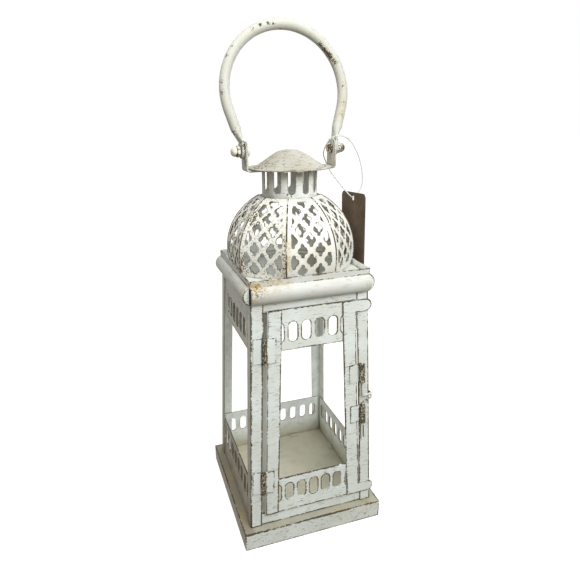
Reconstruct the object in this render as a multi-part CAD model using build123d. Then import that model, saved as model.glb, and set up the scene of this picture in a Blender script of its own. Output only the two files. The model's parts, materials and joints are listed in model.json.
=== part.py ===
"""Candle lantern: a tapered sheet-metal house with a hinged door, a pierced dome and a bail handle.

Millimetres, +Z up, origin at the middle of the plinth's underside. The door faces -Y.
"""

from build123d import *
import math
import os

# Sheet and fits
sheet = 0.8
seam_gap = 0.05
foot_clearance = 0.1
overlay_clearance = 0.2
running_clearance = 0.15
pin_clearance = 0.05

# Plinth
plinth_width = 120.0
plinth_height = 15.5
plinth_sheet = 1.0

# Tapered body: its step in from the plinth, and its width under the cornice
body_step = 6.2
body_top_width = 92.0
cornice_bottom = 206.0
post_flange = 9.5

# Slotted strips
slot_width = 6.9
slot_length = 15.4
slot_pitch = 10.6
lower_strip_height = 41.5
lower_slot_drop = 13.9
upper_strip_height = 32.4
upper_slot_rise = 14.2
strip_corner_margin = 3.0
foot_width = 8.0
foot_depth = 5.0
foot_spacing = 44.0

# Cornice and roof
bead_height = 13.2
bead_projection = 5.5
upstand_height = 4.8
roof_depth = 4.5
roof_sheet = 1.0
roof_ledge = 8.0

# Dome: how much wider than the roof it swells, how far above the roof that is, overall height
dome_swell = 0.2
dome_crest = 13.5
dome_height = 55.2
dome_sides = 8
dome_border = 3.2
piercing_pitch = 12.8
piercing_row_step = 7.43
piercing_rows = 8
piercing_lobe = 1.75
piercing_reach_across = 2.1
piercing_reach_along = 3.6
piercing_first_row = 7.5
piercing_least = 1.0

# Vent collar and cap
collar_radius = 21.0
collar_rise = 18.5
collar_inset = 2.5
collar_slots = 12
collar_slot_width = 5.4
collar_slot_rise = 2.6
cap_rim_radius = 32.6
cap_crown_radius = 26.6
cap_crown_height = 12.6
cap_top_radius = 7.5
cap_top_rounding = 20.0

# Handle strap and its fasteners
strap_width = 14.0
strap_thickness = 1.5
strap_inner_span = 67.2
strap_inner_bend = 0.8
ear_height = 22.0
bolt_height = 13.0
bolt_radius = 2.0
bolt_head_radius = 3.75
bolt_head_height = 3.0
bolt_engagement = 4.0
nut_across_flats = 7.0
nut_hex_height = 3.0
nut_dome_height = 4.2
nut_crown_flat = 0.35

# Bail handle, drawn upright from the bolt axis and leaning back at rest
handle_diameter = 7.5
handle_arch_radius = 45.5
handle_arch_height = 41.7
handle_leg_angle = 17.0
handle_round_from = 15.5
handle_flat_to = 6.0
handle_flat_width = 10.0
handle_flat_thickness = 2.2
handle_lean = 10.5

# Door
door_foot_gap = 9.6
door_head_gap = 5.6
door_overlap = 2.0
stile_width = 11.2
hinge_side_gap = 1.9
strike_gap = 1.3
rail_slot_offset = 0.6
stop_ear_height = 10.0
stop_ear_overhang = 2.4

# Hinges
hinge_rise = 2.0
hinge_length = 20.0
hinge_barrel_radius = 1.6
hinge_pin_radius = 0.7
hinge_leaf_width = 8.0
hinge_leaf_sheet = 0.6
hinge_axis_inset = 0.8
knuckle_gap = 0.15

# Latch
latch_axis_inset = 7.2
latch_rise = 8.5
latch_spacing = 36.5
latch_barrel_length = 15.5
latch_barrel_radius = 2.4
latch_face_gap = 0.4
latch_leaf_width = 9.0
wire_radius = 0.8
wire_bend = 1.1
wire_head = 1.2
crank_top_drop = 1.65
crank_tip_drop = 2.6
crank_bottom_drop = 8.65
crank_edge_gap = 0.4
crank_hook_depth = 1.4
finger_loop_length = 12.5
finger_loop_half_width = 1.3
finger_loop_neck = 2.2

# Hang tag and its string
tag_width = 40.0
tag_length = 75.0
tag_thickness = 0.6
tag_corner = 4.0
tag_hole_radius = 2.0
tag_hole_inset = 4.6
tag_turn = 3.0
tag_gap = 2.0
tag_hole_y = -1.0
tag_drop = 39.1
string_diameter = 0.9
string_end_spread = 1.4
string_points = (
    (17.2, -0.6, -37.1),
    (13.0, 4.6, -30.7),
    (8.6, 9.0, -24.3),
    (4.4, 11.6, -18.1),
    (0.6, 11.0, -11.1),
    (-2.6, 8.4, -5.1),
    (-3.8, 3.8, -0.7),
    (-3.8, -2.0, 4.3),
    (-2.0, -6.4, 8.3),
    (3.4, -7.6, 9.7),
    (11.0, -6.8, 7.3),
    (18.0, -5.4, -0.1),
    (23.6, -4.2, -10.7),
    (26.6, -3.2, -22.1),
    (26.8, -2.2, -32.1),
)

# Derived levels and slopes
body_bottom_width = plinth_width - 2 * body_step
body_rise = cornice_bottom - plinth_height
body_run = (body_bottom_width - body_top_width) / 2
body_lean = math.atan2(body_run, body_rise)
door_bottom = plinth_height + door_foot_gap
door_top = cornice_bottom - door_head_gap
lower_strip_top = plinth_height + lower_strip_height
lower_slot_height = lower_strip_top - lower_slot_drop
upper_strip_bottom = door_top - upper_strip_height
upper_slot_height = upper_strip_bottom + upper_slot_rise
hinge_heights = (lower_strip_top, upper_strip_bottom + hinge_rise)
latch_middle = (door_bottom + door_top) / 2 + latch_rise
latch_barrel_heights = (latch_middle - latch_spacing / 2, latch_middle + latch_spacing / 2)
crank_top_height = latch_middle - crank_top_drop
crank_bottom_height = latch_middle - crank_bottom_drop
roof_top = cornice_bottom + bead_height + upstand_height - roof_depth
post_top = roof_top - roof_sheet
dome_width = body_top_width + 2 * dome_swell
dome_top = roof_top + dome_height
collar_top = dome_top + collar_rise
collar_slot_bottom = dome_top + collar_slot_rise
bolt_z = collar_top + strap_thickness + bolt_height
ear_outer = strap_inner_span / 2 + strap_thickness
edge_slope = body_run / math.hypot(body_rise, body_run)
strip_inside = -2 * sheet
pieces = {}


def half_width(z):
    """Half the body's width at a height."""
    return body_bottom_width / 2 - body_run * (z - plinth_height) / body_rise


def up_face(z):
    """Distance up a leaning face, from the plinth, at a height."""
    return (z - plinth_height) / math.cos(body_lean)


def edge(v, inset):
    """Half the face's width, less an inset, at a distance up the face."""
    return body_bottom_width / 2 - edge_slope * v - inset


face_plane = Plane(
    origin=(0, -body_bottom_width / 2, plinth_height),
    x_dir=(1, 0, 0),
    z_dir=(0, -math.cos(body_lean), math.sin(body_lean)),
)


def on_face(sketch, back, thickness):
    """A flat plate on the front face, from a depth outwards."""
    return face_plane * (Pos(0, 0, back) * extrude(sketch, thickness))


def face_strip(low, high, left_inset, right_inset):
    """A band of the front face between two heights, with its ends parallel to the posts."""
    v0 = up_face(low)
    v1 = up_face(high)
    corners = [
        (-edge(v0, left_inset), v0),
        (edge(v0, right_inset), v0),
        (edge(v1, right_inset), v1),
        (-edge(v1, left_inset), v1),
    ]
    return make_face(Polyline(*corners, close=True))


def slot_row(height, centre, reach, even):
    """Upright slots side by side at one height, as many as start inside the reach."""
    first = slot_pitch / 2 if even else 0.0
    count = int((reach - first) // slot_pitch) + 1
    places = [first + slot_pitch * n for n in range(count)]
    places = sorted({sign * place for place in places for sign in (-1, 1)})
    slot = Rot(0, 0, 90) * SlotOverall(slot_length, slot_width)
    return [Pos(centre + place, up_face(height)) * slot for place in places]


def turn(shape, quarter):
    """A piece of the front face carried round to another face."""
    return Rot(0, 0, 90 * quarter) * shape


def plinth():
    outer = Box(plinth_width, plinth_width, plinth_height, align=(Align.CENTER, Align.CENTER, Align.MIN))
    inside = plinth_width - 2 * plinth_sheet
    hollow = Box(inside, inside, plinth_height - plinth_sheet, align=(Align.CENTER, Align.CENTER, Align.MIN))
    return outer - hollow


def corner_post():
    """The front-left post: one L section at the foot and the same one, further in, at the top."""
    sections = []
    for z in (plinth_height, post_top):
        h = half_width(z)
        corners = [
            (-h, -h, z),
            (-h + post_flange, -h, z),
            (-h + post_flange, -h + sheet, z),
            (-h + sheet, -h + sheet, z),
            (-h + sheet, -h + post_flange, z),
            (-h, -h + post_flange, z),
        ]
        sections.append(make_face(Polyline(*corners, close=True)))
    return loft(sections, ruled=True)


def lower_gallery():
    foot = plinth_height + foot_clearance
    plate = face_strip(foot, lower_strip_top, strip_corner_margin, strip_corner_margin)
    reach = half_width(lower_slot_height) - strip_corner_margin - slot_width
    plate -= slot_row(lower_slot_height, 0, reach, even=False)
    strip = on_face(plate, strip_inside, sheet)
    tab = Box(foot_width, foot_depth, sheet, align=(Align.CENTER, Align.MIN, Align.MIN))
    tab_front = -body_bottom_width / 2 + (sheet - strip_inside) / 2
    for side in (-1, 1):
        strip += Pos(side * foot_spacing / 2, tab_front, plinth_height) * tab
    return strip


def upper_gallery():
    plate = face_strip(upper_strip_bottom, post_top, strip_corner_margin, strip_corner_margin)
    reach = half_width(upper_slot_height) - strip_corner_margin - slot_width
    plate -= slot_row(upper_slot_height, 0, reach, even=True)
    return on_face(plate, strip_inside, sheet)


def front_header():
    plate = face_strip(door_top - door_overlap, post_top, strip_corner_margin, strip_corner_margin)
    return on_face(plate, strip_inside, sheet)


def front_sill():
    foot = plinth_height + foot_clearance
    plate = face_strip(foot, door_bottom + door_overlap, strip_corner_margin, strip_corner_margin)
    return on_face(plate, strip_inside, sheet)


def cornice_strip():
    """The front strip: a hollow bead with an upstand above it, cut square at both ends."""
    middle = cornice_bottom + bead_height / 2
    bead_top = cornice_bottom + bead_height
    top = bead_top + upstand_height
    inner = ThreePointArc((0, cornice_bottom), (bead_projection - sheet, middle), (0, bead_top))
    outer = ThreePointArc((sheet, bead_top), (bead_projection, middle), (sheet, cornice_bottom))
    upstand = Polyline((0, bead_top), (0, top), (sheet, top), (sheet, bead_top))
    lip = Line((sheet, cornice_bottom), (0, cornice_bottom))
    section = make_face([inner, upstand, outer, lip])
    half = body_top_width / 2
    end_plane = Plane(origin=(half, -half, 0), x_dir=(0, -1, 0), z_dir=(-1, 0, 0))
    return extrude(end_plane * section, body_top_width)


def roof_plate():
    plate = Box(body_top_width, body_top_width, roof_sheet)
    plate -= Cylinder(body_top_width / 2 - roof_ledge, roof_sheet)
    return Pos(0, 0, roof_top - roof_sheet / 2) * plate


def quatrefoil():
    """One piercing: a cross of four round lobes, taller than wide."""
    foil = Rectangle(2 * piercing_lobe, 2 * piercing_lobe)
    for side in (-1, 1):
        foil += Pos(side * piercing_reach_across, 0) * Circle(piercing_lobe)
        foil += Pos(0, side * piercing_reach_along) * Circle(piercing_lobe)
    return foil


def dome_panel():
    """The panel that faces +X: a bent band between two upright seam planes."""
    crest = dome_width / 2
    mouth = collar_radius + sheet + running_clearance
    rise = dome_height - dome_crest
    inward = crest - mouth
    bend = (inward**2 + rise**2) / (2 * inward)
    centre = crest - bend
    crest_z = roof_top + dome_crest
    top_angle = math.asin(rise / bend)

    def at(radius, angle):
        return (centre + radius * math.cos(angle), crest_z + radius * math.sin(angle))

    def foot(radius):
        return (centre + math.sqrt(radius**2 - dome_crest**2), roof_top)

    inside = bend - sheet
    outer = ThreePointArc(foot(bend), at(bend, 0), at(bend, top_angle))
    inner = ThreePointArc(at(inside, top_angle), at(inside, 0), foot(inside))
    top = Line(at(bend, top_angle), at(inside, top_angle))
    bottom = Line(foot(inside), foot(bend))
    band = extrude(Plane.XZ * make_face([outer, top, inner, bottom]), crest, both=True)
    half_angle = math.pi / dome_sides

    def between_seams(inset):
        start = inset / math.sin(half_angle)
        spread = (dome_width - start) * math.tan(half_angle)
        wedge = make_face(Polyline((start, 0), (dome_width, -spread), (dome_width, spread), close=True))
        return extrude(wedge, roof_top + 2 * dome_height)

    foot_angle = -math.asin(dome_crest / bend)
    border_angle = dome_border / bend
    low = at(bend, foot_angle + border_angle)[1]
    high = at(bend, top_angle - border_angle)[1]
    slab = Box(2 * dome_width, 2 * dome_width, high - low, align=(Align.CENTER, Align.CENTER, Align.MIN))
    window = between_seams(dome_border) & Pos(0, 0, low) * slab
    foil = extrude(Pos(0, 0, -2 * sheet) * quatrefoil(), 4 * sheet)
    foil_half = piercing_reach_across + piercing_lobe
    holes = []
    for row in range(piercing_rows):
        angle = foot_angle + (piercing_first_row + row * piercing_row_step) / bend
        radius, height = at(bend, angle)
        clear = radius * math.tan(half_angle) - dome_border / math.cos(half_angle)
        places = (-0.5, 0.5) if row % 2 == 0 else (-1, 0, 1)
        tangent = Plane(
            origin=(radius, 0, height), x_dir=(0, 1, 0), z_dir=(math.cos(angle), 0, math.sin(angle))
        )
        for place in places:
            across = place * piercing_pitch
            if abs(across) - foil_half + piercing_least < clear:
                holes.append(tangent * (Pos(across, 0, 0) * foil) & window)
    return (band & between_seams(seam_gap)) - holes


def vent_collar():
    """A ring with a crown of upright fingers that carry the strap and the cap."""
    bottom = dome_top - collar_inset
    height = collar_top - bottom
    tube = Cylinder(collar_radius, height) - Cylinder(collar_radius - sheet, height)
    tube = Pos(0, 0, bottom + height / 2) * tube
    length = collar_top - collar_slot_bottom + collar_slot_width
    slot = Rot(0, 0, 90) * SlotOverall(length, collar_slot_width)
    slot = Plane.XZ * (Pos(0, collar_slot_bottom + length / 2) * slot)
    cutter = extrude(slot, 2 * collar_radius, both=True)
    step = 360 / collar_slots
    for index in range(collar_slots // 2):
        tube -= Rot(0, 0, step * (index + 0.5)) * cutter
    return tube


def chimney_cap():
    """A spun cap: a flat rim round a low rounded cone of even sheet."""
    seat = collar_top + strap_thickness
    rim = seat + sheet
    cone = Cone(
        cap_crown_radius, cap_top_radius, cap_crown_height, align=(Align.CENTER, Align.CENTER, Align.MIN)
    )
    cone = fillet(cone.edges().group_by(Axis.Z)[-1], cap_top_rounding)
    brim = Cylinder(cap_rim_radius, sheet, align=(Align.CENTER, Align.CENTER, Align.MAX))
    return Pos(0, 0, rim) * (brim + cone - Pos(0, 0, -sheet) * cone)


def handle_strap():
    span = 2 * ear_outer
    blank = Rectangle(span, ear_height, align=(Align.CENTER, Align.MIN))
    blank = fillet(blank.vertices().group_by(Axis.Y)[0], strap_inner_bend + strap_thickness)
    gap = Rectangle(strap_inner_span, ear_height, align=(Align.CENTER, Align.MIN))
    gap = fillet(gap.vertices().group_by(Axis.Y)[0], strap_inner_bend)
    section = blank - Pos(0, strap_thickness) * gap
    strap = extrude(Plane.XZ * (Pos(0, collar_top) * section), strap_width / 2, both=True)
    crowns = strap.edges().filter_by(Axis.X).group_by(Axis.Z)[-1]
    strap = fillet(crowns, strap_width / 2 - seam_gap)
    hole = Rot(0, 90, 0) * Cylinder(bolt_radius + pin_clearance, 2 * span)
    return strap - Pos(0, 0, bolt_z) * hole


def bail_handle():
    """The tube's arch and legs, with each end squeezed flat and drilled, leaning back."""
    leg = math.radians(handle_leg_angle)
    radius = handle_arch_radius
    turn_point = (radius * math.cos(leg), handle_arch_height - radius * math.sin(leg))
    drop = turn_point[1] - handle_round_from
    leg_foot = (turn_point[0] - drop * math.tan(leg), handle_round_from)
    crown = (0, handle_arch_height + radius)
    mirrored = (-turn_point[0], turn_point[1])
    path = Plane.XZ * Curve(
        [
            Line(leg_foot, turn_point),
            ThreePointArc(turn_point, crown, mirrored),
            Line(mirrored, (-leg_foot[0], leg_foot[1])),
        ]
    )
    start = Plane(
        origin=(leg_foot[0], 0, leg_foot[1]), x_dir=(0, 1, 0), z_dir=(math.sin(leg), 0, math.cos(leg))
    )
    tube = sweep(start * Circle(handle_diameter / 2), path=path)
    flat_inner = ear_outer + running_clearance
    flat_middle = flat_inner + handle_flat_thickness / 2
    squeeze = Plane(origin=(flat_middle, 0, handle_flat_to), x_dir=(0, 1, 0), z_dir=(0, 0, 1))
    oval = squeeze * Ellipse(handle_flat_width / 2, handle_flat_thickness / 2)
    neck = loft([oval, start * Circle(handle_diameter / 2)])
    eye = Circle(handle_flat_width / 2)
    eye += Rectangle(handle_flat_width, handle_flat_to, align=(Align.CENTER, Align.MIN))
    eye -= Circle(bolt_radius + pin_clearance)
    flat_plane = Plane(origin=(flat_inner, 0, 0), x_dir=(0, 1, 0), z_dir=(1, 0, 0))
    end = neck + extrude(flat_plane * eye, handle_flat_thickness)
    handle = tube + end + Rot(0, 0, 180) * end
    return Pos(0, 0, bolt_z) * (Rot(-handle_lean, 0, 0) * handle)


def along_x(shape, x):
    """A fastener drawn on the Z axis, laid along +X at the bolt height."""
    return Pos(x, 0, bolt_z) * (Rot(0, 90, 0) * shape)


def on_both_ears(shape):
    return Compound([shape, Rot(0, 0, 180) * shape])


def handle_bolts():
    seat = strap_inner_span / 2
    head = Cylinder(bolt_head_radius, bolt_head_height, align=(Align.CENTER, Align.CENTER, Align.MAX))
    head = fillet(head.edges().group_by(Axis.Z)[0], bolt_head_height / 2)
    grip = strap_thickness + handle_flat_thickness + 2 * running_clearance
    shank = Cylinder(bolt_radius, grip + bolt_engagement, align=(Align.CENTER, Align.CENTER, Align.MIN))
    return on_both_ears(along_x(head + shank, seat))


def handle_dome_nuts():
    seat = ear_outer + handle_flat_thickness + 2 * running_clearance
    hexagon = RegularPolygon(nut_across_flats / 2, 6, major_radius=False)
    nut = extrude(hexagon, nut_hex_height)
    dome_radius = nut_across_flats / 2
    dome = Cylinder(dome_radius, nut_dome_height, align=(Align.CENTER, Align.CENTER, Align.MIN))
    dome = fillet(dome.edges().group_by(Axis.Z)[-1], dome_radius - nut_crown_flat)
    nut += Pos(0, 0, nut_hex_height) * dome
    depth = bolt_engagement + running_clearance
    nut -= Cylinder(bolt_radius + pin_clearance, depth, align=(Align.CENTER, Align.CENTER, Align.MIN))
    return on_both_ears(along_x(nut, seat))


hinge_inset = post_flange + hinge_axis_inset
door_left_inset = hinge_inset + hinge_side_gap
door_right_inset = post_flange + strike_gap
stile_back = overlay_clearance
rail_back = stile_back - sheet
door_shift = (door_left_inset - door_right_inset) / 2


def door_stile_band(left):
    """The upright band of one stile, before anything is added to it."""
    low = up_face(door_bottom)
    high = up_face(door_top)
    inset = door_left_inset if left else door_right_inset
    side = -1 if left else 1
    corners = [
        (side * edge(low, inset), low),
        (side * edge(high, inset), high),
        (side * edge(high, inset + stile_width), high),
        (side * edge(low, inset + stile_width), low),
    ]
    return make_face(Polyline(*corners, close=True))


def door_left_stile():
    return on_face(door_stile_band(True), stile_back, sheet)


def door_right_stile():
    """The latch-side stile, with a half-round ear at each end that stops on the post."""
    blank = door_stile_band(False)
    half = stop_ear_height / 2
    for v in (up_face(door_bottom) + half, up_face(door_top) - half):
        tip = edge(v, 0) + stop_ear_overhang
        start = edge(v, door_right_inset + stile_width / 2)
        length = tip - start - half
        ear = Rectangle(length, stop_ear_height, align=(Align.MIN, Align.CENTER))
        ear += Pos(length, 0) * Circle(half)
        blank += Pos(start, v) * ear
    return on_face(blank, stile_back, sheet)


def door_rail(low, high, slot_height, even):
    plate = face_strip(low, high, door_left_inset, door_right_inset)
    reach = half_width(slot_height) - door_left_inset - slot_width / 2
    plate -= slot_row(slot_height, door_shift + rail_slot_offset, reach, even)
    return on_face(plate, rail_back, sheet)


def edge_frame(height, inset, left):
    """A frame on the front face beside a post: X along the face, Y into it, Z up the post's edge."""
    v = up_face(height)
    side = -1 if left else 1
    base = face_plane * Pos(side * edge(v, inset), v, 0)
    lean = math.degrees(math.atan(edge_slope)) * side
    return base * Rot(0, 0, lean) * Rot(-90, 0, 0)


def barrel(radius, bore, length):
    return Cylinder(radius, length) - Cylinder(bore, length)


def hinge_leaf(of_post):
    """One leaf with its knuckles, on the Z axis: the post's has the outer two, the door's the middle one."""
    knuckle = hinge_length / 3 - knuckle_gap
    bore = hinge_pin_radius + pin_clearance
    seat = hinge_barrel_radius
    if of_post:
        near = -hinge_barrel_radius / 2
        side = (Align.MAX, Align.MAX, Align.CENTER)
        leaf = Pos(near, seat, 0) * Box(hinge_leaf_width, hinge_leaf_sheet, hinge_length, align=side)
        middle = Cylinder(hinge_barrel_radius + 2 * knuckle_gap, hinge_length / 3 + knuckle_gap)
        leaf -= middle
        heights = (-hinge_length / 3, hinge_length / 3)
    else:
        near = hinge_barrel_radius / 2
        front = seat - overlay_clearance - sheet
        side = (Align.MIN, Align.MAX, Align.CENTER)
        leaf = Pos(near, front, 0) * Box(hinge_leaf_width, hinge_leaf_sheet, hinge_length, align=side)
        for end in (-1, 1):
            outer = Cylinder(hinge_barrel_radius + 2 * knuckle_gap, hinge_length / 3 + knuckle_gap)
            leaf -= Pos(0, 0, end * hinge_length / 3) * outer
        heights = (0,)
    leaf -= Cylinder(bore, hinge_length)
    for height in heights:
        leaf += Pos(0, 0, height) * barrel(hinge_barrel_radius, bore, knuckle)
    return leaf


def on_hinge_axis(shape):
    """Copies of a hinge piece at both hinge heights, standing proud of the front face."""
    proud = Pos(0, -hinge_barrel_radius, 0)
    return Compound([edge_frame(height, hinge_inset, True) * (proud * shape) for height in hinge_heights])


latch_proud = latch_barrel_radius + latch_face_gap
latch_bore = wire_radius + pin_clearance


def latch_knuckle():
    """A rolled barrel with the leaf that is soldered to the door's stile."""
    front = latch_proud - overlay_clearance - sheet
    side = (Align.MAX, Align.MAX, Align.CENTER)
    leaf = Box(latch_leaf_width, hinge_leaf_sheet, latch_barrel_length, align=side)
    leaf = Pos(-latch_barrel_radius / 2, front, 0) * leaf
    leaf -= Cylinder(latch_bore, latch_barrel_length)
    return leaf + barrel(latch_barrel_radius, latch_bore, latch_barrel_length)


def on_latch_axis(shape, height):
    return edge_frame(height, latch_axis_inset, False) * (Pos(0, -latch_proud, 0) * shape)


def latch_wire():
    """One bent wire: through both barrels, out round the post's edge between them, a finger loop below."""
    low, high = latch_barrel_heights
    base = crank_bottom_height
    top = up_face(high + latch_barrel_length / 2 + wire_head) - up_face(base)
    crank_top = up_face(crank_top_height) - up_face(base)
    crank_return = crank_top - crank_tip_drop
    beyond = latch_axis_inset + crank_edge_gap + wire_radius
    hook = latch_proud + crank_hook_depth
    neck = up_face(low - latch_barrel_length / 2 - wire_radius) - up_face(base)
    shoulder = neck - finger_loop_neck
    tip = shoulder - finger_loop_length
    loop = finger_loop_half_width
    straight = FilletPolyline(
        (0, 0, top),
        (0, 0, crank_top),
        (beyond, 0, crank_top),
        (beyond, hook, crank_top),
        (beyond, hook, crank_return),
        (beyond, 0, crank_return),
        (0, 0, 0),
        (0, 0, neck),
        (-loop, 0, shoulder),
        (-loop, 0, tip),
        (loop, 0, tip),
        (loop, 0, shoulder),
        radius=wire_bend,
    )
    start = Plane(origin=(0, 0, top), z_dir=(0, 0, -1))
    wire = sweep(start * Circle(wire_radius), path=straight)
    return on_latch_axis(wire, base)


tag_plane_x = body_top_width / 2 + bead_projection + tag_gap
tag_hole = (tag_plane_x, tag_hole_y, bolt_z - tag_drop)


def hang_tag():
    card = RectangleRounded(tag_width, tag_length, tag_corner)
    card = Pos(0, tag_hole_inset - tag_length / 2) * card
    card -= Circle(tag_hole_radius)
    plane = Plane(origin=tag_hole, x_dir=(0, 1, 0), z_dir=(1, 0, 0))
    return plane * (Rot(0, 0, -tag_turn) * extrude(card, tag_thickness))


def tag_string():
    """The loop round the handle's right leg, whose two ends lie side by side in the tag's hole."""
    middle = Vector(*tag_hole) + Vector(tag_thickness / 2, 0, 0)
    aside = Vector(0, string_end_spread / 2, 0)
    bolt = Vector(strap_inner_span / 2, 0, bolt_z)
    route = [middle + aside, *[bolt + Vector(*point) for point in string_points], middle - aside]
    radii = []
    for before, here, after in zip(route, route[1:], route[2:]):
        arriving = here - before
        leaving = after - here
        half_turn = math.radians(arriving.get_angle(leaving)) / 2
        radii.append(0.45 * min(arriving.length, leaving.length) / math.tan(half_turn))
    path = FilletPolyline(*route, radius=radii)
    start = Plane(origin=route[0], z_dir=route[1] - route[0])
    string = sweep(start * Circle(string_diameter / 2), path=path)
    expected = math.pi * (string_diameter / 2) ** 2 * path.length
    print("string radii", [round(r, 1) for r in radii])
    print("string length", round(path.length, 1), "volume", round(string.volume, 2), "of", round(expected, 2))
    return string


pieces["plinth"] = plinth()

post_names = ("post_front_left", "post_front_right", "post_back_right", "post_back_left")
for quarter, name in enumerate(post_names):
    pieces[name] = turn(corner_post(), quarter)

for quarter, side in ((1, "right"), (2, "back"), (3, "left")):
    pieces["lower_gallery_" + side] = turn(lower_gallery(), quarter)
    pieces["upper_gallery_" + side] = turn(upper_gallery(), quarter)

pieces["front_header"] = front_header()
pieces["front_sill"] = front_sill()

for quarter, side in enumerate(("front", "right", "back", "left")):
    pieces["cornice_" + side] = turn(cornice_strip(), quarter)

pieces["roof_plate"] = roof_plate()

panel_names = ("right", "back_right", "back", "back_left", "left", "front_left", "front", "front_right")
master_panel = dome_panel()
for index, side in enumerate(panel_names):
    pieces["dome_panel_" + side] = Rot(0, 0, 360 / dome_sides * index) * master_panel

pieces["vent_collar"] = vent_collar()
pieces["chimney_cap"] = chimney_cap()
pieces["handle_strap"] = handle_strap()
pieces["bail_handle"] = bail_handle()
pieces["handle_bolts"] = handle_bolts()
pieces["handle_dome_nuts"] = handle_dome_nuts()

pieces["door_left_stile"] = door_left_stile()
pieces["door_right_stile"] = door_right_stile()
pieces["door_bottom_rail"] = door_rail(door_bottom, lower_strip_top, lower_slot_height, even=False)
pieces["door_top_rail"] = door_rail(upper_strip_bottom, door_top, upper_slot_height, even=True)

pieces["hinge_post_leaves"] = on_hinge_axis(hinge_leaf(True))
pieces["hinge_door_leaves"] = on_hinge_axis(hinge_leaf(False))
pieces["hinge_pins"] = on_hinge_axis(Cylinder(hinge_pin_radius, hinge_length))

knuckle = latch_knuckle()
pieces["latch_barrels"] = Compound([on_latch_axis(knuckle, height) for height in latch_barrel_heights])
pieces["latch_wire"] = latch_wire()

pieces["hang_tag"] = hang_tag()
pieces["tag_string"] = tag_string()

os.makedirs("parts", exist_ok=True)
for name, piece in pieces.items():
    export_step(piece, f"parts/{name}.step")
print(len(pieces), "pieces written")
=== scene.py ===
# %% [markdown]
# # A candle lantern in worn antique-white paint
# The lantern is folded from thin steel sheet, soldered, stained dark and then brushed with off-white
# paint that was rubbed through again along its edges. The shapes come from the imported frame, so this
# script starts by loading it. Everything below is in metres, in the frame's own coordinates.

# %% Load the frame
import json
import math
from functools import partial
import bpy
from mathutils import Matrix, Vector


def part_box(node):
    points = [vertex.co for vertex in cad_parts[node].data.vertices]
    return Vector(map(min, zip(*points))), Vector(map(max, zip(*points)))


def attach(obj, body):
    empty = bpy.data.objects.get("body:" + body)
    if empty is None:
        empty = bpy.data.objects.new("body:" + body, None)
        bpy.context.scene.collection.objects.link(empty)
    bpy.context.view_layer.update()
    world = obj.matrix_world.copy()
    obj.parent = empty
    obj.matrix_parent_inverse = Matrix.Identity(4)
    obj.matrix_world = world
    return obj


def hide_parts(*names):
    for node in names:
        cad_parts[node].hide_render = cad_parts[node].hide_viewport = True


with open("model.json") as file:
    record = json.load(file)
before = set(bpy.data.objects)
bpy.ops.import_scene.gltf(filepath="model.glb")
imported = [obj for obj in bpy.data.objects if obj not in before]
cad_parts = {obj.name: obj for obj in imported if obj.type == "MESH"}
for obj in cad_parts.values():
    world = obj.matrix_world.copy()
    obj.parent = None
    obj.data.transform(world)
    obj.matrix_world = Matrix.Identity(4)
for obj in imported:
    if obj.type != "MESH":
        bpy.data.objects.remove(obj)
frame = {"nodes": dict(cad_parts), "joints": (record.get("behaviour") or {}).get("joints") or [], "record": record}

from types import SimpleNamespace

import bmesh
import bpy
from mathutils import Matrix, Vector

mm = 0.001
scene = bpy.context.scene
scene.view_settings.view_transform = "Standard"
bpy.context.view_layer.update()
body_of_node = {}
for body, members in frame["record"]["behaviour"]["bodies"].items():
    for member in members:
        body_of_node[member] = body

# %% [markdown]
# ## The camera
# The photograph was taken from close by, above and to the left of the door, with a wide lens. The camera
# is set from its place, its yaw, pitch and roll, and its focal length in pixels of a 580 pixel frame. A
# look-at constraint would be shorter, but it has no roll, and the photograph leans by a degree.

# %% Camera
FRAME_PIXELS = 580
camera_place = Vector((-126.9, -350.0, 329.8)) * mm
yaw, pitch, roll = (math.radians(angle) for angle in (16.85, 19.39, 1.22))
focal_pixels = 481.5
centre_off_x, centre_off_y = 24.66, -1.34

ahead = Vector((math.sin(yaw) * math.cos(pitch), math.cos(yaw) * math.cos(pitch), -math.sin(pitch)))
level = Vector((math.cos(yaw), -math.sin(yaw), 0.0))
down = ahead.cross(level)
image_right = math.cos(roll) * level + math.sin(roll) * down
image_up = math.sin(roll) * level - math.cos(roll) * down

camera_data = bpy.data.cameras.new("camera")
camera_data.sensor_width = 36.0
camera_data.lens = focal_pixels * camera_data.sensor_width / FRAME_PIXELS
camera_data.shift_x = centre_off_x / FRAME_PIXELS
camera_data.shift_y = centre_off_y / FRAME_PIXELS
camera_data.clip_start = 10 * mm
camera = bpy.data.objects.new("camera", camera_data)
turned = Matrix((image_right, image_up, -ahead)).transposed().to_4x4()
camera.matrix_world = Matrix.Translation(camera_place) @ turned
scene.collection.objects.link(camera)
scene.camera = camera
print("lens", round(camera_data.lens, 2), "mm")

# %% [markdown]
# ## Helpers for materials
# Colours are written as the sRGB hex values that an eye would pick, and turned to the linear values that
# the renderer works in. Every shader node is added by one small function, with its settings, its values
# and its links in one call, so that a material reads from top to bottom.


# %% Colour and node helpers
def srgb(code):
    """A hex colour as linear RGBA."""
    parts = [int(code[start:start + 2], 16) / 255 for start in (1, 3, 5)]
    linear = [part / 12.92 if part <= 0.04045 else ((part + 0.055) / 1.055) ** 2.4 for part in parts]
    return (*linear, 1.0)


def add_node(tree, kind, inputs=(), **settings):
    """One shader node with its settings. Inputs come by name or number, or in the order of the sockets.

    An input is a value, or the socket or node that feeds it.
    """
    node = tree.nodes.new("ShaderNode" + kind)
    for key, value in settings.items():
        setattr(node, key, value)
    for key, value in inputs.items() if isinstance(inputs, dict) else enumerate(inputs):
        if isinstance(value, bpy.types.Node):
            value = next(socket for socket in value.outputs if socket.enabled)
        if isinstance(value, bpy.types.NodeSocket):
            tree.links.new(value, node.inputs[key])
        else:
            node.inputs[key].default_value = value
    return node


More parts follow.
